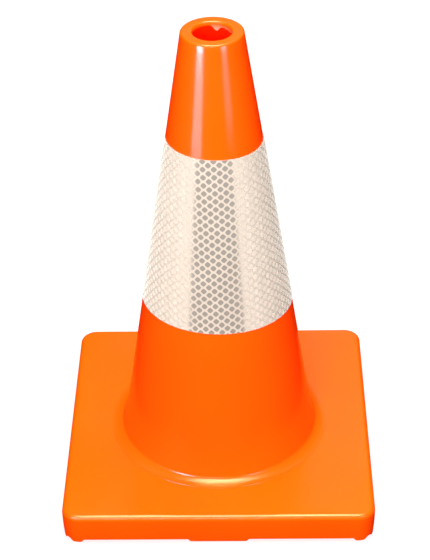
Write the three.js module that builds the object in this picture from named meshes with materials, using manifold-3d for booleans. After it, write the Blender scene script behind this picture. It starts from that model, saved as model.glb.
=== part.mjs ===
// Traffic cone, 18 inch (457 mm) size: a soft PVC shell snapped into a square base, with one
// retro-reflective collar wrapped round it. Millimetres, +Z up. The origin is on the ground at the
// centre of the base, and -Y is the front. The collar's lap seam is at the back, +Y.

import * as THREE from 'three';
import { mergeVertices } from 'three/addons/utils/BufferGeometryUtils.js';
import Module from 'manifold-3d';

const wasm = await Module();
wasm.setup();

// ---- Driving dimensions -------------------------------------------------------------------------

const HEIGHT = 457.2;
const BASE_WIDTH = 292.1;
const DECK_TOP = 31;
const FOOT_HEIGHT = 2.6;

const TOP_RADIUS = 27.95;
const TAPER = 0.152;
const SHELL_WALL = 3;
const TOP_HOLE_RADIUS = 17.2;
const TOP_LIP = 4;
const TOP_EDGE_ROUND = 1.6;
const FLARE_RADIUS = 350;
const FLARE_END = THREE.MathUtils.degToRad(15);
const CREASE_RADIUS = 4;
const CREASE_END = THREE.MathUtils.degToRad(62);
const TOE_RADIUS = 20;
const FLANGE_EDGE = 0.5;

const SPIGOT_RADIUS = 91.6;
const SPIGOT_BOTTOM = 17;
const SNAP_BEAD = 2.2;

const BASE_CORNER_RADIUS = 16;
const BASE_EDGE_ROUND = 4.5;
const DECK_THICKNESS = 6;
const SKIRT_WALL = 5;
const RING_WALL = 3;
const RIB_THICKNESS = 2.8;
const RIB_BOTTOM = 6;
const CELLS_ACROSS = 7;
const MIDDLE_FOOT_LENGTH = 52;
const END_FOOT_LENGTH = 8;
const END_FOOT_INSET = 13.6;

const UPPER_EDGE = { height: 352.9, toBack: 0.029, toRight: 0.035 };
const LOWER_EDGE = { height: 180.6, toBack: 0.071, toRight: 0.033 };
const COLLAR_LAP = THREE.MathUtils.degToRad(13.5);
const LAP_RAMP = THREE.MathUtils.degToRad(22.5);
const BACKING_THICKNESS = 0.3;
const SHEET_THICKNESS = 0.4;
const FILM_GAP = 0.1;

const GAP = 0.3;

// ---- How finely round shapes are faceted --------------------------------------------------------

const AROUND = 80;
const LIP_STEPS = 3;
const FLARE_STEPS = 3;
const CREASE_STEPS = 3;
const TOE_STEPS = 3;
const CORNER_STEPS = 6;
const EDGE_STEPS = 4;

// ---- Materials ----------------------------------------------------------------------------------

function plastic(color, roughness) {
  return new THREE.MeshStandardMaterial({ color, roughness, metalness: 0 });
}

const shellVinyl = plastic(0xff5a0a, 0.22);
const baseVinyl = plastic(0xff6e0c, 0.26);
const backingFilm = plastic(0xf4efe6, 0.45);
const prismaticFilm = new THREE.MeshStandardMaterial({
  color: 0xefe4d4,
  roughness: 0.2,
  metalness: 0.25,
});

// ---- Helpers ------------------------------------------------------------------------------------

function shellRadius(z) {
  return TOP_RADIUS + (HEIGHT - z) * TAPER;
}

function mergedPositions(geometry) {
  const bare = geometry.clone();
  bare.deleteAttribute('normal');
  bare.deleteAttribute('uv');
  return mergeVertices(bare, 1e-4);
}

function toSolid(geometry) {
  const merged = mergedPositions(geometry);
  const mesh = new wasm.Mesh({
    numProp: 3,
    vertProperties: new Float32Array(merged.attributes.position.array),
    triVerts: new Uint32Array(merged.index.array),
  });
  return new wasm.Manifold(mesh);
}

function union(solids) {
  return solids.reduce((joined, solid) => joined.add(solid));
}

function toGeometry(solid) {
  const mesh = solid.getMesh();
  const geometry = new THREE.BufferGeometry();
  geometry.setAttribute('position', new THREE.BufferAttribute(mesh.vertProperties, 3));
  geometry.setIndex(new THREE.BufferAttribute(mesh.triVerts, 1));
  geometry.computeVertexNormals();
  return geometry;
}

function box(low, high) {
  const size = new THREE.Vector3().subVectors(high, low);
  const geometry = new THREE.BoxGeometry(size.x, size.y, size.z);
  geometry.translate(low.x + size.x / 2, low.y + size.y / 2, low.z + size.z / 2);
  return toSolid(geometry);
}

function point(x, y, z) {
  return new THREE.Vector3(x, y, z);
}

// A solid of revolution about Z. The outline holds radii and heights, clockwise with Z up.
function lathe(outline) {
  const closed = [...outline, outline[0].clone()].reverse();
  const geometry = new THREE.LatheGeometry(closed, AROUND);
  geometry.rotateX(Math.PI / 2);
  return geometry;
}

function cylinder(radius, low, high) {
  const geometry = new THREE.CylinderGeometry(radius, radius, high - low, AROUND);
  geometry.rotateX(Math.PI / 2);
  geometry.translate(0, 0, (low + high) / 2);
  return toSolid(geometry);
}

function roundedSquare(half, radius) {
  const shape = new THREE.Shape();
  const inner = half - radius;
  shape.absarc(inner, inner, radius, 0, Math.PI / 2);
  shape.absarc(-inner, inner, radius, Math.PI / 2, Math.PI);
  shape.absarc(-inner, -inner, radius, Math.PI, 1.5 * Math.PI);
  shape.absarc(inner, -inner, radius, 1.5 * Math.PI, 2 * Math.PI);
  shape.closePath();
  return shape;
}

function arc(centreR, centreZ, radius, from, to, steps) {
  const points = [];
  for (let i = 0; i <= steps; i += 1) {
    const angle = from + ((to - from) * i) / steps;
    const r = centreR + radius * Math.cos(angle);
    const z = centreZ + radius * Math.sin(angle);
    points.push(new THREE.Vector2(r, z));
  }
  return points;
}

// ---- Cone shell ---------------------------------------------------------------------------------

// Three arcs turn the wall outwards at the foot: a gentle flare, a small crease, and a shallow toe
// that ends flat on the flange. Angles are how far the wall leans out from upright.
function footOutline(flangeTop) {
  const arcs = [
    { radius: FLARE_RADIUS, from: Math.atan(TAPER), to: FLARE_END, steps: FLARE_STEPS },
    { radius: CREASE_RADIUS, from: FLARE_END, to: CREASE_END, steps: CREASE_STEPS },
    { radius: TOE_RADIUS, from: CREASE_END, to: Math.PI / 2, steps: TOE_STEPS },
  ];
  let z = flangeTop;
  for (const { radius, from, to } of arcs) {
    z += radius * (Math.sin(to) - Math.sin(from));
  }
  const points = [new THREE.Vector2(shellRadius(z), z)];
  for (const { radius, from, to, steps } of arcs) {
    const { x: r, y: height } = points.at(-1);
    const centreR = r + radius * Math.cos(from);
    const centreZ = height + radius * Math.sin(from);
    points.push(...arc(centreR, centreZ, radius, Math.PI + from, Math.PI + to, steps).slice(1));
  }
  return points;
}

// The outline runs down the outside, from the top hole to the spigot, and back up the inside.
function shellOutline() {
  const wallAngle = Math.atan(TAPER);
  const foot = footOutline(DECK_TOP + GAP + FLANGE_EDGE);
  const toe = foot[foot.length - 1];
  const topRound = TOP_EDGE_ROUND;
  const innerR = (z) => shellRadius(z) - SHELL_WALL / Math.cos(wallAngle);
  const lipZ = HEIGHT - TOP_LIP;
  return [
    ...arc(TOP_HOLE_RADIUS + topRound, HEIGHT - topRound, topRound, Math.PI, Math.PI / 2, LIP_STEPS),
    ...arc(TOP_RADIUS - topRound, HEIGHT - topRound, topRound, Math.PI / 2, wallAngle, LIP_STEPS),
    ...foot,
    new THREE.Vector2(toe.x + FLANGE_EDGE, DECK_TOP + GAP),
    new THREE.Vector2(SPIGOT_RADIUS, DECK_TOP + GAP),
    new THREE.Vector2(SPIGOT_RADIUS, DECK_TOP - DECK_THICKNESS - GAP),
    new THREE.Vector2(SPIGOT_RADIUS + SNAP_BEAD, DECK_TOP - DECK_THICKNESS - GAP - SNAP_BEAD),
    new THREE.Vector2(SPIGOT_RADIUS, SPIGOT_BOTTOM),
    new THREE.Vector2(SPIGOT_RADIUS - SHELL_WALL, SPIGOT_BOTTOM),
    new THREE.Vector2(SPIGOT_RADIUS - SHELL_WALL, DECK_TOP),
    new THREE.Vector2(innerR(lipZ), lipZ),
    new THREE.Vector2(TOP_HOLE_RADIUS, lipZ),
  ];
}

function coneShell() {
  return new THREE.Mesh(lathe(shellOutline()), shellVinyl);
}

// ---- Base ---------------------------------------------------------------------------------------

const HALF = BASE_WIDTH / 2;
const DECK_UNDERSIDE = DECK_TOP - DECK_THICKNESS;
const HOLE_RADIUS = SPIGOT_RADIUS + GAP;
const RING_INNER = SPIGOT_RADIUS + SNAP_BEAD + GAP;
const RING_OUTER = RING_INNER + RING_WALL;

// The outer block is rounded along both its top and bottom edges, and its bottom is cut away.
function outerBlock() {
  const spare = 2 * BASE_EDGE_ROUND;
  const bottom = FOOT_HEIGHT - spare;
  const geometry = new THREE.ExtrudeGeometry(roundedSquare(HALF, BASE_CORNER_RADIUS), {
    depth: DECK_TOP - bottom - 2 * BASE_EDGE_ROUND,
    curveSegments: CORNER_STEPS,
    bevelThickness: BASE_EDGE_ROUND,
    bevelSize: BASE_EDGE_ROUND,
    bevelOffset: -BASE_EDGE_ROUND,
    bevelSegments: EDGE_STEPS,
  });
  geometry.translate(0, 0, bottom + BASE_EDGE_ROUND);
  const below = box(point(-HALF - 1, -HALF - 1, bottom - 1), point(HALF + 1, HALF + 1, FOOT_HEIGHT));
  return toSolid(geometry).subtract(below);
}

// An upright block with rounded corners, from just below the ground to the deck's underside.
function prism(half, radius) {
  const geometry = new THREE.ExtrudeGeometry(roundedSquare(half, radius), {
    depth: DECK_UNDERSIDE + 1,
    curveSegments: CORNER_STEPS,
    bevelEnabled: false,
  });
  geometry.translate(0, 0, -1);
  return toSolid(geometry);
}

function undersideCavity() {
  return prism(HALF - SKIRT_WALL, BASE_CORNER_RADIUS - SKIRT_WALL);
}

// Straight ribs cross the underside both ways and stop at the ring round the hole.
function ribs() {
  const inside = BASE_WIDTH - 2 * SKIRT_WALL;
  const pitch = inside / CELLS_ACROSS;
  const reach = inside / 2 + 1;
  const half = RIB_THICKNESS / 2;
  const top = DECK_UNDERSIDE + 1;
  const bars = [];
  for (let i = 1; i < CELLS_ACROSS; i += 1) {
    const centre = i * pitch - inside / 2;
    bars.push(box(point(centre - half, -reach, RIB_BOTTOM), point(centre + half, reach, top)));
    bars.push(box(point(-reach, centre - half, RIB_BOTTOM), point(reach, centre + half, top)));
  }
  return union(bars);
}

function ring() {
  return cylinder(RING_OUTER, FOOT_HEIGHT, DECK_UNDERSIDE + 1);
}

// A foot is a stretch of the skirt that reaches the ground. Its ends slope down at 45 degrees.
function foot(centre, flatLength, turn) {
  const left = centre - flatLength / 2;
  const right = centre + flatLength / 2;
  const profile = new THREE.Shape();
  profile.moveTo(left, 0);
  profile.lineTo(right, 0);
  profile.lineTo(right + RIB_BOTTOM, RIB_BOTTOM);
  profile.lineTo(left - RIB_BOTTOM, RIB_BOTTOM);
  profile.closePath();
  const geometry = new THREE.ExtrudeGeometry(profile, { depth: HALF, bevelEnabled: false });
  geometry.rotateX(Math.PI / 2);
  geometry.rotateZ(turn);
  return toSolid(geometry);
}

// Each side has a long foot in its middle and a short one near each end.
function feet() {
  const end = HALF - END_FOOT_INSET;
  const pads = [];
  for (let side = 0; side < 4; side += 1) {
    const turn = (side * Math.PI) / 2;
    pads.push(foot(0, MIDDLE_FOOT_LENGTH, turn));
    pads.push(foot(-end, END_FOOT_LENGTH, turn));
    pads.push(foot(end, END_FOOT_LENGTH, turn));
  }
  const skirt = prism(HALF, BASE_CORNER_RADIUS).subtract(undersideCavity());
  return union(pads).intersect(skirt);
}

function baseSolid() {
  const hollow = undersideCavity();
  const body = outerBlock().subtract(hollow);
  const solid = union([body, ribs().intersect(hollow), ring(), feet()]);
  const shellRoom = cylinder(RING_INNER, -1, DECK_UNDERSIDE);
  const deckHole = cylinder(HOLE_RADIUS, DECK_UNDERSIDE - 1, DECK_TOP + 1);
  return solid.subtract(shellRoom).subtract(deckHole);
}

function base() {
  return new THREE.Mesh(toGeometry(baseSolid()), baseVinyl);
}

// ---- Reflective collar --------------------------------------------------------------------------

// The collar is cut a little too straight for the cone and put on slightly askew, so each edge lies
// in a plane that falls towards the back and the right. Its height is taken on the cone's axis.
function edgeHeight(edge, angle) {
  const fall = edge.toBack * Math.sin(angle) + edge.toRight * Math.cos(angle);
  return (edge.height - fall * (TOP_RADIUS + HEIGHT * TAPER)) / (1 - fall * TAPER);
}

// Wraps a flat strip onto the cone. Its length goes once round the cone and on over its own start,
// and offset is the height of its inner face above the shell.
function wrappedStrip(offset, thickness) {
  const turn = 2 * Math.PI + COLLAR_LAP;
  const stack = 2 * FILM_GAP + BACKING_THICKNESS + SHEET_THICKNESS;
  const steps = Math.round((turn / (2 * Math.PI)) * AROUND);
  const geometry = new THREE.BoxGeometry(1, 1, 1, steps, 1, 1);
  const start = Math.PI / 2 - COLLAR_LAP / 2;
  const position = geometry.attributes.position;
  for (let i = 0; i < position.count; i += 1) {
    const along = (position.getX(i) + 0.5) * turn;
    const angle = start + along;
    const z = edgeHeight(position.getY(i) < 0 ? LOWER_EDGE : UPPER_EDGE, angle);
    const climb = THREE.MathUtils.clamp((along - 2 * Math.PI + LAP_RAMP) / LAP_RAMP, 0, 1) * stack;
    const radius = shellRadius(z) + offset + climb + (position.getZ(i) + 0.5) * thickness;
    position.setXYZ(i, radius * Math.cos(angle), radius * Math.sin(angle), z);
  }
  geometry.computeVertexNormals();
  return geometry;
}

function collarBacking() {
  return new THREE.Mesh(wrappedStrip(FILM_GAP, BACKING_THICKNESS), backingFilm);
}

function prismaticSheet() {
  return new THREE.Mesh(wrappedStrip(2 * FILM_GAP + BACKING_THICKNESS, SHEET_THICKNESS), prismaticFilm);
}

// ---- Assembly -----------------------------------------------------------------------------------

function add(group, name, mesh) {
  mesh.name = name;
  group.add(mesh);
}

const cone = new THREE.Group();
add(cone, 'cone_shell', coneShell());
add(cone, 'base', base());
add(cone, 'collar_backing', collarBacking());
add(cone, 'prismatic_sheet', prismaticSheet());

export default cone;
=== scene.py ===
"""The finished look of an 18 inch traffic cone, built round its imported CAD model.

Metres, +Z up. The ground is z = 0 and the cone's front faces -Y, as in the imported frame.
"""

import math

import bpy
from mathutils import Matrix, Vector, noise


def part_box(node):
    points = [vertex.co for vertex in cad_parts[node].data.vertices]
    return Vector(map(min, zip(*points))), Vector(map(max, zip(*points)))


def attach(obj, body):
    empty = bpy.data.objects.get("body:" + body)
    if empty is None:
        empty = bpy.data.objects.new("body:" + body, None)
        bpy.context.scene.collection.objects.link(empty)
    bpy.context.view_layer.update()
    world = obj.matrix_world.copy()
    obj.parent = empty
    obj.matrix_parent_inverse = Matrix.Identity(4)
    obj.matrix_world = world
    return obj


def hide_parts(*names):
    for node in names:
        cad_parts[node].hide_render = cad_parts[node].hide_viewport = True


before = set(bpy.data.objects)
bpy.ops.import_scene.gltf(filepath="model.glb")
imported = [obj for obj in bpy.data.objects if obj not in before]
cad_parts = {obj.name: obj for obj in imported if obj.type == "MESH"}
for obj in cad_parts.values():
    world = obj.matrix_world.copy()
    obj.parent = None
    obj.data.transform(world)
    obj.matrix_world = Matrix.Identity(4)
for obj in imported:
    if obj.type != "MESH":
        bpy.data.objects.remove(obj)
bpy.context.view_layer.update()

MM = 0.001
TAU = 2 * math.pi

# ---- Driving dimensions --------------------------------------------------------------------------

shell_low, shell_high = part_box("cone_shell")
base_low, base_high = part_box("base")

HEIGHT = shell_high.z
DECK_TOP = base_high.z
BASE_HALF = base_high.x
SPIGOT_BOTTOM = shell_low.z

TAPER = 0.152
TOP_RADIUS = 27.95 * MM
SHELL_WALL = 3 * MM
HOLE_RADIUS = 17.2 * MM
HOLE_EDGE_RISE = 1.2 * MM
HOLE_EDGE_BREAK = 0.2 * MM
HOLE_EDGE_INSET = 0.4 * MM
TOP_EDGE_ROUND = 1.9 * MM
LIP_DEPTH = 3.4 * MM
FLARE_RADIUS = 350 * MM
FLARE_END = math.radians(15)
CREASE_RADIUS = 4 * MM
CREASE_END = math.radians(62)
TOE_RADIUS = 20 * MM
TOE_EDGE = 0.35 * MM
SPIGOT_RADIUS = 91.6 * MM
SNAP_BEAD = 2.2 * MM
SNUG = 0.05 * MM
CLEARANCE = 0.3 * MM
WALL_WAVE = 0.1 * MM

CORNER_RADIUS = 16 * MM
DECK_THICKNESS = 6 * MM
SKIRT_WALL = 5 * MM
DECK_EDGE_ROUND = 4.5 * MM
DECK_WAVE = 0.12 * MM
HEM_ROUND = 0.8 * MM
SKIRT_CROWN = 1.2 * MM
FOOT_HEIGHT = 2.6 * MM
MIDDLE_FOOT_LENGTH = 52 * MM
END_FOOT_LENGTH = 8 * MM
END_FOOT_INSET = 13.6 * MM
RING_WALL = 3 * MM
RING_INNER = SPIGOT_RADIUS + SNAP_BEAD + CLEARANCE
RING_OUTER = RING_INNER + RING_WALL
RING_SEGMENTS = 144
RIB_THICKNESS = 2.8 * MM
RIB_BOTTOM = 6 * MM
RIB_OVERLAP = 1 * MM
CELLS_ACROSS = 7

UPPER_EDGE = {"height": 352.9 * MM, "to_back": 0.029, "to_right": 0.035}
LOWER_EDGE = {"height": 180.6 * MM, "to_back": 0.071, "to_right": 0.033}
COLLAR_LAP = math.radians(13.5)
LAP_RAMP = math.radians(22.5)
BACKING_THICKNESS = 0.15 * MM
SHEET_THICKNESS = 0.25 * MM
FILM_GAP = 0.04 * MM


# ---- Camera --------------------------------------------------------------------------------------

CAMERA_DISTANCE = 1.6905
CAMERA_PITCH = math.radians(35.07)
CAMERA_YAW = math.radians(1.186)
CAMERA_ROLL = math.radians(-1.125)
CAMERA_SIDESTEP = 27 * MM
CAMERA_TARGET_HEIGHT = 197.2 * MM
FOCAL_LENGTH_MM = 115.95
SENSOR_WIDTH_MM = 36
CLIP_END = 60


def make_camera():
    """A camera in front of the cone that looks down at it, turned and rolled a little."""
    data = bpy.data.cameras.new("camera")
    data.sensor_width = SENSOR_WIDTH_MM
    data.lens = FOCAL_LENGTH_MM
    data.clip_end = CLIP_END
    camera = bpy.data.objects.new("camera", data)
    bpy.context.scene.collection.objects.link(camera)
    side = Vector((math.cos(CAMERA_YAW), math.sin(CAMERA_YAW), 0))
    ahead = Vector((-math.sin(CAMERA_YAW), math.cos(CAMERA_YAW), 0))
    up = Vector((0, 0, 1))
    forward = math.cos(CAMERA_PITCH) * ahead - math.sin(CAMERA_PITCH) * up
    level_up = math.sin(CAMERA_PITCH) * ahead + math.cos(CAMERA_PITCH) * up
    right = math.cos(CAMERA_ROLL) * side + math.sin(CAMERA_ROLL) * level_up
    above = -math.sin(CAMERA_ROLL) * side + math.cos(CAMERA_ROLL) * level_up
    rotation = Matrix((right, above, -forward)).transposed()
    reach = CAMERA_DISTANCE * math.cos(CAMERA_PITCH)
    rise = CAMERA_DISTANCE * math.sin(CAMERA_PITCH)
    place = Vector((CAMERA_SIDESTEP, -reach, CAMERA_TARGET_HEIGHT + rise))
    camera.matrix_world = Matrix.Translation(place) @ rotation.to_4x4()
    bpy.context.scene.camera = camera


# ---- Mesh helpers --------------------------------------------------------------------------------

SHARP_ANGLE = math.radians(38)


def mesh_object(name, vertices, faces):
    mesh = bpy.data.meshes.new(name)
    mesh.from_pydata(vertices, [], faces)
    mesh.validate()
    mesh.shade_smooth()
    mesh.set_sharp_from_angle(angle=SHARP_ANGLE)
    obj = bpy.data.objects.new(name, mesh)
    bpy.context.scene.collection.objects.link(obj)
    return obj


def ring_of_loops(loops):
    """A closed body whose surface runs from loop to loop and from the last back to the first."""
    around = len(loops[0])
    vertices = [point for loop in loops for point in loop]
    faces = []
    for row in range(len(loops)):
        below = (row + 1) % len(loops)
        for i in range(around):
            j = (i + 1) % around
            faces.append((row * around + i, below * around + i, below * around + j, row * around + j))
    return vertices, faces


def joined(name, bodies):
    """One mesh object made of several closed bodies."""
    vertices, faces = [], []
    for body_vertices, body_faces in bodies:
        first = len(vertices)
        vertices += body_vertices
        faces += [tuple(first + corner for corner in face) for face in body_faces]
    return mesh_object(name, vertices, faces)


def keep_attribute(obj, name, values):
    attribute = obj.data.attributes.new(name, "FLOAT_VECTOR", "POINT")
    for i, value in enumerate(values):
        attribute.data[i].vector = value


def arc(centre, radius, start, end, steps):
    points = []
    for i in range(steps + 1):
        angle = start + (end - start) * i / steps
        points.append((centre[0] + radius * math.cos(angle), centre[1] + radius * math.sin(angle)))
    return points


def line(start, end, steps):
    """Points along a straight line, without its ends."""
    points = []
    for i in range(1, steps):
        t = i / steps
        points.append((start[0] + (end[0] - start[0]) * t, start[1] + (end[1] - start[1]) * t))
    return points


def smooth(x, low, high):
    t = min(max((x - low) / (high - low), 0), 1)
    return t * t * (3 - 2 * t)


# ---- Cone shell ----------------------------------------------------------------------------------

SHELL_SEGMENTS = 288
FOOT_ARC_STEPS = 10
RIM_STEPS = 8
LIP_STEPS = 4
OUTER_WALL_STEPS = 60
INNER_WALL_STEPS = 40
FLAP_LENGTH = 4.6 * MM
FLAP_ANGLE = 78
FLAP_WIDTH = 11
TOOTH_LENGTH = 5.5 * MM
TEETH_ANGLE = 36
TEETH_WIDTH = 30
TEETH_ELSEWHERE = 0.12
COARSE_TEETH_SCALE = 9.7
FINE_TEETH_SCALE = 23
WAVE_LENGTH = 70 * MM
WAVE_START = DECK_TOP + 6 * MM
WAVE_FULL = DECK_TOP + 40 * MM
WAVE_FADE = HEIGHT - 20 * MM


def shell_radius(z):
    return TOP_RADIUS + (HEIGHT - z) * TAPER


def wave(x, y, z):
    """How far the soft moulded wall wanders in or out at a point."""
    return WALL_WAVE * noise.noise(Vector((x, y, z * 0.6)) / WAVE_LENGTH)


def shell_point(radius, z, angle):
    x, y = radius * math.cos(angle), radius * math.sin(angle)
    fade = smooth(z, WAVE_START, WAVE_FULL) * (1 - smooth(z, WAVE_FADE, HEIGHT))
    grown = radius + wave(x, y, z) * fade
    return Vector((grown * math.cos(angle), grown * math.sin(angle), z))


def bell(angle, centre, width):
    """One at the centre angle and falling off smoothly within the width, in degrees."""
    away = (math.degrees(angle) - centre + 180) % 360 - 180
    return math.exp(-((away / width) ** 2))


def lip_raggedness(angle):
    """Torn moulding flash under the hole's lip: one long flap at the back and small teeth beside it."""
    place = Vector((math.cos(angle), math.sin(angle), 0))
    coarse = abs(noise.noise(place * COARSE_TEETH_SCALE))
    teeth = coarse + 0.6 * abs(noise.noise(place * FINE_TEETH_SCALE))
    flap = FLAP_LENGTH * bell(angle, FLAP_ANGLE, FLAP_WIDTH)
    return flap + TOOTH_LENGTH * teeth * (TEETH_ELSEWHERE + bell(angle, TEETH_ANGLE, TEETH_WIDTH))


def foot_outline(toe_top):
    """Three arcs turn the wall outwards at the foot: a gentle flare, a small crease, a shallow toe."""
    arcs = [
        (FLARE_RADIUS, math.atan(TAPER), FLARE_END),
        (CREASE_RADIUS, FLARE_END, CREASE_END),
        (TOE_RADIUS, CREASE_END, math.pi / 2),
    ]
    z = toe_top + sum(radius * (math.sin(end) - math.sin(start)) for radius, start, end in arcs)
    points = [(shell_radius(z), z)]
    for radius, start, end in arcs:
        r, height = points[-1]
        centre = (r + radius * math.cos(start), height + radius * math.sin(start))
        points += arc(centre, radius, math.pi + start, math.pi + end, FOOT_ARC_STEPS)[1:]
    return points


def shell_outline():
    """Down the outside from the hole's rim to the toe, round the spigot, and up the inside."""
    wall_angle = math.atan(TAPER)
    slope = math.cos(wall_angle)
    rim = TOP_EDGE_ROUND
    foot = foot_outline(DECK_TOP + TOE_EDGE)
    toe = foot[-1]
    under = DECK_TOP + SNUG
    inside = SPIGOT_RADIUS - SHELL_WALL
    deck_under = DECK_TOP - DECK_THICKNESS
    lip_z = HEIGHT - LIP_DEPTH
    outer_top = arc((TOP_RADIUS - rim, HEIGHT - rim), rim, math.pi / 2, wall_angle, RIM_STEPS)
    points = arc((HOLE_RADIUS + rim, HEIGHT - rim), rim, math.pi, math.pi / 2, RIM_STEPS)
    points += line(points[-1], outer_top[0], LIP_STEPS)
    points += outer_top
    points += line(outer_top[-1], foot[0], OUTER_WALL_STEPS)
    points += foot
    points += [(toe[0] + TOE_EDGE / 2, DECK_TOP + TOE_EDGE / 2), (toe[0], under)]
    points += [(SPIGOT_RADIUS, under), (SPIGOT_RADIUS, deck_under)]
    points += [(SPIGOT_RADIUS + SNAP_BEAD, deck_under - SNAP_BEAD), (SPIGOT_RADIUS, SPIGOT_BOTTOM)]
    points += [(inside, SPIGOT_BOTTOM), (inside, DECK_TOP)]
    inner_top = (shell_radius(lip_z) - SHELL_WALL / slope, lip_z)
    points += line((inside, DECK_TOP), inner_top, INNER_WALL_STEPS)
    points += [inner_top, (HOLE_RADIUS + HOLE_EDGE_INSET, lip_z)]
    points += [(HOLE_RADIUS, lip_z + HOLE_EDGE_BREAK), (HOLE_RADIUS, lip_z + HOLE_EDGE_RISE)]
    return points


def make_shell():
    """The shell keeps, in the vertex attribute "zone", how far inside each point is, for the painted
    shade in the hollow, and how much of the pale flash colour, partly a painted highlight, it takes.
    """
    outline = shell_outline()
    loops, zones = [], []
    for row, (radius, z) in enumerate(outline):
        ragged = len(outline) - 3 <= row < len(outline) - 1
        inside = radius < shell_radius(z) - SHELL_WALL * 0.9 and z < HEIGHT - LIP_DEPTH + 0.1 * MM
        loop = []
        for i in range(SHELL_SEGMENTS):
            angle = TAU * i / SHELL_SEGMENTS
            point = shell_point(radius, z, angle)
            if ragged:
                point.z -= lip_raggedness(angle)
            loop.append(point)
            # Weight of the pale flash colour: paler torn plastic, with a painted highlight in it.
            torn_and_highlight = bell(angle, FLAP_ANGLE, FLAP_WIDTH) + 0.4 * bell(angle, TEETH_ANGLE, TEETH_WIDTH)
            zones.append((float(inside and not ragged), torn_and_highlight if ragged else 0.0, 0.0))
        loops.append(loop)
    shell = joined("shell_skin", [ring_of_loops(loops)])
    keep_attribute(shell, "zone", zones)
    return shell


# ---- Base ----------------------------------------------------------------------------------------

SIDE_STEP = 4 * MM
CORNER_STEPS = 14
EDGE_STEPS = 12
DECK_RINGS = 16
SKIRT_STEPS = 8
HEM_STEPS = 4
UNDERSIDE_RINGS = 6
LEVEL_WITHIN = 108 * MM
UNEVEN_BEYOND = 130 * MM
DECK_WAVE_LENGTH = 55 * MM


def foot_spans():
    """Where the flat soles of the feet begin and end along half a side."""
    end = BASE_HALF - END_FOOT_INSET
    return [(0, MIDDLE_FOOT_LENGTH / 2), (end, END_FOOT_LENGTH / 2)]


def sole_height(x, y):
    """Height of the skirt's lower edge: zero on a foot's sole, with 45 degree ends."""
    along = min(abs(x), abs(y))
    gaps = [max(abs(along - centre) - half, 0) for centre, half in foot_spans()]
    return min(min(gaps), FOOT_HEIGHT)


def side_places():
    """Places along a straight side, closer at the ends of the feet."""
    reach = BASE_HALF - CORNER_RADIUS
    count = round(2 * reach / SIDE_STEP)
    places = {round(-reach + 2 * reach * i / count, 6) for i in range(count + 1)}
    for centre, half in foot_spans():
        for away in (-half - FOOT_HEIGHT, -half, half, half + FOOT_HEIGHT):
            edge = centre + away
            if abs(edge) < reach:
                places |= {round(edge, 6), round(-edge, 6)}
    return sorted(places)


def corner_places():
    """Angles round a corner, with the ends of its two feet among them."""
    reach = BASE_HALF - CORNER_RADIUS
    angles = {math.pi / 2 * i / CORNER_STEPS for i in range(1, CORNER_STEPS)}
    centre, half = foot_spans()[1]
    for edge in (centre + half, centre + half + FOOT_HEIGHT):
        angle = math.asin((edge - reach) / CORNER_RADIUS)
        angles |= {angle, math.pi / 2 - angle}
    return sorted(angles)


def base_loop(inset, height):
    """A rounded square loop, inset from the base's outline. height gives z at a point."""
    reach = BASE_HALF - CORNER_RADIUS
    half = BASE_HALF - inset
    radius = CORNER_RADIUS - inset
    quarter = [(t, -half) for t in side_places()]
    for angle in corner_places():
        quarter.append((reach + radius * math.sin(angle), -reach - radius * math.cos(angle)))
    loop = []
    for turn in range(4):
        c, s = round(math.cos(turn * math.pi / 2)), round(math.sin(turn * math.pi / 2))
        for x, y in quarter:
            px, py = c * x - s * y, s * x + c * y
            loop.append(Vector((px, py, height(px, py))))
    return loop


def level(z):
    return lambda x, y: z


def deck_height(x, y):
    """The deck is very slightly uneven, except close round the cone."""
    away = smooth(math.hypot(x, y), LEVEL_WITHIN, UNEVEN_BEYOND)
    return DECK_TOP + DECK_WAVE * away * (noise.noise(Vector((x, y, 0.3)) / DECK_WAVE_LENGTH) - 0.6)


def hole_loop(radius, z, like):
    """A circle with a point for each point of another loop."""
    loop = []
    for point in like:
        angle = math.atan2(point.y, point.x)
        loop.append(Vector((radius * math.cos(angle), radius * math.sin(angle), z)))
    return loop


def between(first, second, t, height):
    loop = []
    for a, b in zip(first, second):
        p = a.lerp(b, t)
        loop.append(Vector((p.x, p.y, height(p.x, p.y))))
    return loop


def tuck(t):
    """How far the crowned skirt draws in, from its top, t = 0, to its lower edge, t = 1."""
    return SKIRT_CROWN * t * t


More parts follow.
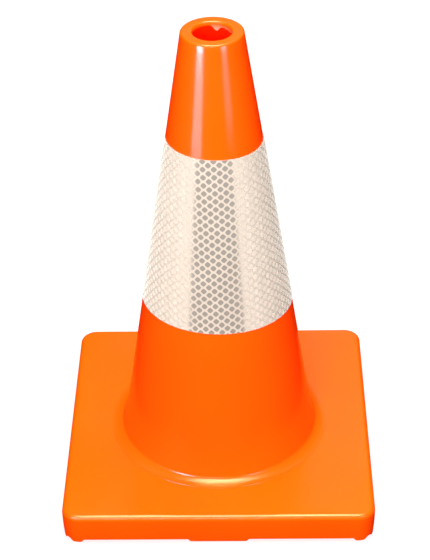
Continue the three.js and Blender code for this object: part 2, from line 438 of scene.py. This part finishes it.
def base_body():
    """From the hole over the deck, down the skirt, round its hem and back along the underside."""
    edge = DECK_EDGE_ROUND
    hem = HEM_ROUND
    hole = SPIGOT_RADIUS + CLEARANCE
    under = DECK_TOP - DECK_THICKNESS
    rim = base_loop(edge, deck_height)
    hole_top = hole_loop(hole, DECK_TOP, rim)
    loops = [hole_top]
    for i in range(1, DECK_RINGS):
        loops.append(between(hole_top, rim, i / DECK_RINGS, deck_height))
    for i in range(EDGE_STEPS + 1):
        a = math.pi / 2 * i / EDGE_STEPS
        drop = edge * (1 - math.cos(a))
        loops.append(base_loop(edge * (1 - math.sin(a)), lambda x, y: deck_height(x, y) - drop))
    for i in range(1, SKIRT_STEPS):
        t = i / SKIRT_STEPS
        z = DECK_TOP - edge + (FOOT_HEIGHT + hem - DECK_TOP + edge) * t
        loops.append(base_loop(tuck(t), lambda x, y: z + (sole_height(x, y) - FOOT_HEIGHT) * t))
    for i in range(HEM_STEPS + 1):
        a = math.pi / 2 * i / HEM_STEPS
        rise = hem * (1 - math.sin(a))
        inset = tuck(1) + hem * (1 - math.cos(a))
        loops.append(base_loop(inset, lambda x, y: sole_height(x, y) + rise))
    for i in range(HEM_STEPS + 1):
        a = math.pi / 2 * i / HEM_STEPS
        rise = hem * (1 - math.cos(a))
        inset = SKIRT_WALL - hem * (1 - math.sin(a))
        loops.append(base_loop(inset, lambda x, y: sole_height(x, y) + rise))
    loops.append(base_loop(SKIRT_WALL, level(under - 2 * MM)))
    loops.append(base_loop(SKIRT_WALL + 0.6 * MM, level(under - 0.6 * MM)))
    inner = base_loop(SKIRT_WALL + 2 * MM, level(under))
    loops.append(inner)
    hole_under = hole_loop(hole, under, rim)
    for i in range(1, UNDERSIDE_RINGS):
        loops.append(between(inner, hole_under, i / UNDERSIDE_RINGS, level(under)))
    loops.append(hole_under)
    return ring_of_loops(loops)


def block(low, high):
    """Corners and faces of an upright block, for the ribs."""
    corners = []
    for x in (low[0], high[0]):
        for y in (low[1], high[1]):
            corners += [Vector((x, y, low[2])), Vector((x, y, high[2]))]
    faces = [(0, 1, 3, 2), (4, 6, 7, 5), (0, 4, 5, 1), (2, 3, 7, 6), (0, 2, 6, 4), (1, 5, 7, 3)]
    return corners, faces


def rib_blocks():
    """Straight ribs cross the underside both ways and stop at the ring round the hole."""
    inside = 2 * (BASE_HALF - SKIRT_WALL)
    reach = inside / 2 + RIB_OVERLAP
    half = RIB_THICKNESS / 2
    top = DECK_TOP - DECK_THICKNESS + RIB_OVERLAP
    blocks = []
    for i in range(1, CELLS_ACROSS):
        centre = i * inside / CELLS_ACROSS - inside / 2
        clear = RING_OUTER - RING_WALL / 2
        start = math.sqrt(max(clear ** 2 - centre ** 2, 0))
        for near, far in ((start, reach), (-reach, -start)):
            blocks.append(block((centre - half, near, RIB_BOTTOM), (centre + half, far, top)))
            blocks.append(block((near, centre - half, RIB_BOTTOM), (far, centre + half, top)))
    return blocks


def ring_wall():
    """The ring round the hole that the ribs run into."""
    top = DECK_TOP - DECK_THICKNESS + RIB_OVERLAP
    outline = [(RING_OUTER, top), (RING_OUTER, FOOT_HEIGHT)]
    outline += [(RING_INNER, FOOT_HEIGHT), (RING_INNER, top)]
    loops = []
    for radius, z in outline:
        angles = [TAU * i / RING_SEGMENTS for i in range(RING_SEGMENTS)]
        loops.append([Vector((radius * math.cos(a), radius * math.sin(a), z)) for a in angles])
    return ring_of_loops(loops)


def make_base():
    return joined("base_skin", [base_body(), ring_wall(), *rib_blocks()])


# ---- Reflective collar ---------------------------------------------------------------------------

COLLAR_STEPS = 420
COLLAR_ROWS = 12
CONE_FOOT_RADIUS = TOP_RADIUS + HEIGHT * TAPER
APEX_HEIGHT = HEIGHT + TOP_RADIUS / TAPER
UNROLL = math.sin(math.atan(TAPER))


def edge_height(edge, angle):
    """Each edge lies in a plane that falls towards the back and the right."""
    fall = edge["to_back"] * math.sin(angle) + edge["to_right"] * math.cos(angle)
    return (edge["height"] - fall * CONE_FOOT_RADIUS) / (1 - fall * TAPER)


def wrapped_strip(name, offset, thickness):
    """A flat strip wrapped once round the cone and on over its own start. It keeps, in the vertex
    attribute "flat", where each point lay on the flat sheet."""
    turn = TAU + COLLAR_LAP
    stack = 2 * FILM_GAP + BACKING_THICKNESS + SHEET_THICKNESS
    start = math.pi / 2 - COLLAR_LAP / 2
    section = [(row / COLLAR_ROWS, 1) for row in range(COLLAR_ROWS + 1)]
    section += [(row / COLLAR_ROWS, 0) for row in range(COLLAR_ROWS, -1, -1)]
    vertices, flat = [], []
    for i in range(COLLAR_STEPS + 1):
        along = turn * i / COLLAR_STEPS
        angle = start + along
        climb = stack * smooth(along, TAU - LAP_RAMP, TAU)
        bottom, top = edge_height(LOWER_EDGE, angle), edge_height(UPPER_EDGE, angle)
        for across, out in section:
            z = bottom + (top - bottom) * across
            radius = shell_radius(z)
            x, y = radius * math.cos(angle), radius * math.sin(angle)
            grown = radius + wave(x, y, z) + offset + climb + out * thickness
            vertices.append(Vector((grown * math.cos(angle), grown * math.sin(angle), z)))
            reach = (APEX_HEIGHT - z) / math.cos(math.atan(TAPER))
            spread = (angle - 1.5 * math.pi) * UNROLL
            flat.append((reach * math.sin(spread), -reach * math.cos(spread), out))
    width = len(section)
    faces = [tuple(range(width)), tuple(COLLAR_STEPS * width + k for k in reversed(range(width)))]
    for i in range(COLLAR_STEPS):
        for k in range(width):
            n = (k + 1) % width
            faces.append((i * width + k, (i + 1) * width + k, (i + 1) * width + n, i * width + n))
    obj = mesh_object(name, vertices, faces)
    keep_attribute(obj, "flat", flat)
    return obj


def make_backing():
    return wrapped_strip("collar_liner", FILM_GAP, BACKING_THICKNESS)


def make_sheet():
    return wrapped_strip("collar_film", 2 * FILM_GAP + BACKING_THICKNESS, SHEET_THICKNESS)


# ---- Materials -----------------------------------------------------------------------------------


TEXTURE_OBJECT = 3
ATTRIBUTE_VECTOR = 1
GEOMETRY_POINTINESS = 7
MIX_FACTOR, MIX_FIRST_COLOUR, MIX_SECOND_COLOUR = 0, 6, 7
MIXED_COLOUR = 2


class Nodes:
    """A short way to write a material's nodes."""

    def __init__(self, name):
        self.material = bpy.data.materials.new(name)
        self.material.use_nodes = True
        self.tree = self.material.node_tree
        self.shader = self.tree.nodes["Principled BSDF"]

    def put(self, socket, value):
        if isinstance(value, bpy.types.NodeSocket):
            self.tree.links.new(value, socket)
        else:
            socket.default_value = value

    def add(self, kind, output=0, settings=None, **inputs):
        node = self.tree.nodes.new(kind)
        for key, value in (settings or {}).items():
            setattr(node, key, value)
        for key, value in inputs.items():
            self.put(node.inputs[key.replace("_", " ")], value)
        return node.outputs[output]

    def math(self, operation, *values):
        node = self.tree.nodes.new("ShaderNodeMath")
        node.operation = operation
        for socket, value in zip(node.inputs, values):
            self.put(socket, value)
        return node.outputs[0]

    def noise(self, place, scale, detail=3.0):
        return self.add("ShaderNodeTexNoise", Vector=place, Scale=scale, Detail=detail)

    def range(self, value, low, high, new_low=0.0, new_high=1.0):
        node = self.tree.nodes.new("ShaderNodeMapRange")
        for socket, given in zip(node.inputs, (value, low, high, new_low, new_high)):
            self.put(socket, given)
        return node.outputs[0]

    def mix(self, factor, first, second):
        node = self.tree.nodes.new("ShaderNodeMix")
        node.data_type = "RGBA"
        self.put(node.inputs[MIX_FACTOR], factor)
        self.put(node.inputs[MIX_FIRST_COLOUR], first)
        self.put(node.inputs[MIX_SECOND_COLOUR], second)
        return node.outputs[MIXED_COLOUR]

    def bump(self, height, strength, distance):
        return self.add("ShaderNodeBump", Height=height, Strength=strength, Distance=distance)

    def place(self):
        return self.add("ShaderNodeTexCoord", output=TEXTURE_OBJECT)

    def attribute(self, name):
        settings = {"attribute_name": name}
        return self.add("ShaderNodeAttribute", output=ATTRIBUTE_VECTOR, settings=settings)

    def separate(self, vector):
        node = self.tree.nodes.new("ShaderNodeSeparateXYZ")
        self.put(node.inputs[0], vector)
        return node.outputs

    def set(self, **inputs):
        for key, value in inputs.items():
            self.put(self.shader.inputs[key.replace("_", " ")], value)


def colour(r, g, b):
    return (r, g, b, 1)


def vinyl(name, body, warm, painted_glow):
    """Soft glossy fluorescent PVC: faint flow marks in the colour, orange peel and fine grain. The
    painted_glow is red light that the vinyl itself gives off everywhere, in place of real fluorescence;
    it is painted light that also lifts the red in the shaded parts."""
    n = Nodes(name)
    place = n.place()
    flow = n.noise(place, 9.0, 4.0)
    speck = n.noise(place, 900.0, 2.0)
    tint = n.range(flow, 0.35, 0.65)
    shade = n.mix(tint, colour(*body), colour(*warm))
    dust = n.range(speck, 0.68, 0.78, 0.0, 0.25)
    shade = n.mix(dust, shade, colour(0.95, 0.2, 0.05))
    convex = n.add("ShaderNodeNewGeometry", output=GEOMETRY_POINTINESS)
    patches = n.range(n.noise(place, 60.0, 5.0), 0.4, 0.6)
    rubbed = n.math("MULTIPLY", n.range(convex, 0.53, 0.62), patches)
    shade = n.mix(n.math("MULTIPLY", rubbed, 0.25), shade, colour(0.95, 0.22, 0.06))
    inside, torn_and_highlight, _ = n.separate(n.attribute("zone"))
    # Painted shade: the inside of the shell is a deeper red for the shade and red bounce light in the
    # hollow.
    shade = n.mix(inside, shade, colour(0.85, 0.02, 0.0))
    # Pale torn flash under the lip: partly paler torn plastic, partly a painted highlight.
    shade = n.mix(torn_and_highlight, shade, colour(0.95, 0.42, 0.3))
    peel = n.noise(place, 160.0, 2.0)
    handled = n.noise(place, 22.0, 5.0)
    n.set(Base_Color=shade, Roughness=n.range(handled, 0.3, 0.7, 0.15, 0.21), IOR=1.5)
    # Painted glow: constant red self-light in place of fluorescence, which also brightens the shaded
    # parts.
    n.set(Emission_Color=colour(*painted_glow), Emission_Strength=1.0)
    n.set(Normal=n.bump(peel, 0.12, 0.05 * MM))
    return n.material


def backing_film():
    n = Nodes("backing_film")
    grain = n.noise(n.place(), 400.0)
    n.set(Base_Color=n.mix(grain, colour(0.86, 0.83, 0.77), colour(0.93, 0.91, 0.87)), Roughness=0.5)
    n.set(Normal=n.bump(grain, 0.1, 0.05 * MM))
    return n.material


CELL_PITCH = (9.8 * MM, 7.65 * MM)
CELL_RADIUS = (2.7 * MM, 2.75 * MM)
CELL_ROUNDNESS = 1.35
LATTICE_TURN = math.radians(-1.9)


def prismatic_film():
    """Retro-reflective sheet: rounded diamond cells of mirror-bright prisms in a white lattice."""
    n = Nodes("prismatic_film")
    flat = n.attribute("flat")
    x, y, _ = n.separate(n.add("ShaderNodeVectorRotate", Vector=flat, Angle=LATTICE_TURN))
    u = n.math("DIVIDE", x, CELL_PITCH[0])
    v = n.math("DIVIDE", y, CELL_PITCH[1])
    folded = []
    for value in (n.math("ADD", u, v), n.math("SUBTRACT", u, v)):
        folded.append(n.math("SUBTRACT", value, n.math("ROUND", value)))
    across = n.math("MULTIPLY", n.math("ADD", *folded), CELL_PITCH[0] / 2)
    upward = n.math("MULTIPLY", n.math("SUBTRACT", *folded), CELL_PITCH[1] / 2)
    reach = []
    for value, radius in ((across, CELL_RADIUS[0]), (upward, CELL_RADIUS[1])):
        share = n.math("DIVIDE", n.math("ABSOLUTE", value), radius)
        reach.append(n.math("POWER", share, CELL_ROUNDNESS))
    depth = n.math("ADD", *reach)
    cell = n.range(depth, 1.12, 0.9)
    grain = n.noise(flat, 700.0, 2.0)
    cloud = n.noise(flat, 40.0, 3.0)
    lattice = n.mix(cloud, colour(0.60, 0.52, 0.45), colour(0.66, 0.58, 0.51))
    prism = n.mix(cloud, colour(0.59, 0.52, 0.46), colour(0.65, 0.58, 0.52))
    n.set(Base_Color=n.mix(cell, lattice, prism), Metallic=n.math("MULTIPLY", cell, 0.62))
    n.set(Roughness=n.range(cell, 0.0, 1.0, 0.35, 0.16))
    n.set(Normal=n.bump(n.math("ADD", cell, n.math("MULTIPLY", grain, 0.08)), 0.1, 0.1 * MM))
    return n.material


# ---- Stage ---------------------------------------------------------------------------------------

STAGE_HALF = 10.0
FLOOR_GLOW = 0.86
WORLD_FILL = 0.08


def make_floor():
    """A pale floor that gives off light to the camera only, so it stays even under the cone."""
    half = STAGE_HALF
    corners = [(-half, -half, 0), (half, -half, 0), (half, half, 0), (-half, half, 0)]
    floor = mesh_object("floor", [Vector(c) for c in corners], [(0, 1, 2, 3)])
    n = Nodes("floor")
    grain = n.noise(n.place(), 3.0)
    n.set(Base_Color=n.mix(grain, colour(0.18, 0.18, 0.18), colour(0.19, 0.19, 0.19)), Roughness=0.9)
    n.set(Emission_Color=colour(1, 1, 1), Emission_Strength=FLOOR_GLOW)
    floor.data.materials.append(n.material)
    floor.visible_glossy = False
    floor.visible_diffuse = False
    floor.visible_shadow = False


def area_light(name, place, target, size, radiance, tint, seen_in_gloss=True, lights_surfaces=True):
    data = bpy.data.lights.new(name, "AREA")
    data.shape = "RECTANGLE"
    data.size, data.size_y = size
    data.energy = radiance * math.pi * size[0] * size[1]
    data.color = tint
    light = bpy.data.objects.new(name, data)
    bpy.context.scene.collection.objects.link(light)
    light.location = place
    light.rotation_euler = (Vector(target) - Vector(place)).to_track_quat("-Z", "Y").to_euler()
    light.visible_camera = False
    light.visible_glossy = seen_in_gloss
    light.visible_diffuse = lights_surfaces
    return light


def strip(name, azimuth, distance, width, low, high, radiance, tint):
    """An upright strip box, azimuth degrees to the right of the front, seen only in glossy surfaces."""
    a = math.radians(azimuth)
    middle = (low + high) / 2
    place = (distance * math.sin(a), -distance * math.cos(a), middle)
    size = (width, high - low)
    return area_light(name, place, (0, 0, middle), size, radiance, tint, True, False)


STRIP_DISTANCE = 0.5
FILL_PLACE = (-0.12, -0.95, 0.7)
FILL_TARGET = (0, 0, 0.2)
FILL_SIZE = (0.35, 0.4)
PANELS_PER_SIDE = 6
FIRST_PANEL_AZIMUTH = 50
PANEL_STEP = 24
PANEL = {"distance": 0.5, "width": 0.22, "low": -0.35, "high": 0.85}
FRONT_STRIP = {"distance": 0.56, "width": 0.24, "low": -0.1, "high": 0.35, "radiance": 0.28}


def shine_on(light, *receivers):
    """Only these pieces see the light."""
    group = bpy.data.collections.new(light.name + "_receivers")
    for piece in receivers:
        group.objects.link(piece)
    light.light_linking.receiver_collection = group


def make_lights(vinyl_pieces, film, backing):
    """Strip lights that only the vinyl sees, and a ring of panels and a fill only for the collar."""
    cool, warm, plain = (0.76, 0.74, 1.0), (1.0, 0.95, 0.76), (1, 0.98, 0.95)
    cream, golden = (1, 0.94, 0.87), (1, 0.93, 0.45)
    area_light("top_gloss", (0, 0.4, 2.2), (0, 0.4, 0), (0.85, 1.9), 17, golden, True, False)
    area_light("top_fill", (0, -0.1, 1.9), (0, -0.1, 0), (0.9, 0.9), 19, plain, False)
    area_light("front_box", (0, -1.05, 1.0), (0, 0, 0.03), (0.26, 0.1), 8, warm, True, False)
    front_fill = area_light("front_fill", FILL_PLACE, FILL_TARGET, FILL_SIZE, 38, plain, False)
    film_fill = area_light("film_fill", FILL_PLACE, FILL_TARGET, FILL_SIZE, 29, plain, False)
    shine_on(front_fill, *vinyl_pieces)
    shine_on(film_fill, film, backing)
    area_light("back_fill", (0.3, 2.0, 1.2), (0, 0, 0.2), (1.0, 1.0), 11, plain, False)
    for name, azimuth, width, low, high, radiance in (
        ("left_strip", -39, 0.2, 0.215, 0.43, 7),
        ("left_strip_top", -40, 0.15, 0.36, 0.56, 34),
        ("right_strip", 39, 0.15, 0.27, 0.43, 2.6),
        ("right_strip_top", 38, 0.12, 0.38, 0.54, 13),
    ):
        light = strip(name, azimuth, STRIP_DISTANCE, width, low, high, radiance, cool)
        shine_on(light, *vinyl_pieces)
    for step in range(PANELS_PER_SIDE):
        azimuth = FIRST_PANEL_AZIMUTH + PANEL_STEP * step
        for side, radiance in ((-1, 1.68 + 0.04 * step), (1, 1.62 - 0.08 * step)):
            panel = strip("film_panel", side * azimuth, radiance=radiance, tint=cream, **PANEL)
            shine_on(panel, film)
    for azimuth in (-PANEL_STEP, 0, PANEL_STEP):
        shine_on(strip("film_front", azimuth, tint=plain, **FRONT_STRIP), film)


def make_world():
    """White where the camera sees it, and a dim even fill for everything else."""
    world = bpy.data.worlds.new("studio")
    world.use_nodes = True
    tree = world.node_tree
    tree.nodes.clear()
    output = tree.nodes.new("ShaderNodeOutputWorld")
    seen = tree.nodes.new("ShaderNodeBackground")
    seen.inputs[0].default_value = colour(1, 1, 1)
    dim = tree.nodes.new("ShaderNodeBackground")
    dim.inputs[0].default_value = colour(1, 0.97, 0.93)
    dim.inputs[1].default_value = WORLD_FILL
    dark = tree.nodes.new("ShaderNodeBackground")
    dark.inputs[1].default_value = 0.0
    path = tree.nodes.new("ShaderNodeLightPath")
    glossy = tree.nodes.new("ShaderNodeMixShader")
    camera = tree.nodes.new("ShaderNodeMixShader")
    tree.links.new(path.outputs["Is Glossy Ray"], glossy.inputs[0])
    tree.links.new(dim.outputs[0], glossy.inputs[1])
    tree.links.new(dark.outputs[0], glossy.inputs[2])
    tree.links.new(path.outputs["Is Camera Ray"], camera.inputs[0])
    tree.links.new(glossy.outputs[0], camera.inputs[1])
    tree.links.new(seen.outputs[0], camera.inputs[2])
    tree.links.new(camera.outputs[0], output.inputs[0])
    bpy.context.scene.world = world


# ---- Assembly ------------------------------------------------------------------------------------


def finish_piece(obj, material, node):
    obj.data.materials.append(material)
    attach(obj, "root")
    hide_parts(node)


make_camera()
shell_vinyl = vinyl("shell_vinyl", (0.95, 0.085, 0.001), (0.96, 0.093, 0.001), (0.5, 0.004, 0))
# The base's vinyl is the shell's with a little more green in its colour and emission: painted light, a
# touch yellower for the top-lit deck.
base_vinyl = vinyl("base_vinyl", (0.95, 0.088, 0.001), (0.96, 0.097, 0.001), (0.5, 0.006, 0))
shell = make_shell()
base = make_base()
backing = make_backing()
film = make_sheet()
finish_piece(shell, shell_vinyl, "cone_shell")
finish_piece(base, base_vinyl, "base")
finish_piece(backing, backing_film(), "collar_backing")
finish_piece(film, prismatic_film(), "prismatic_sheet")
make_floor()
make_lights((shell, base), film, backing)
make_world()
bpy.context.scene.view_settings.view_transform = "Standard"
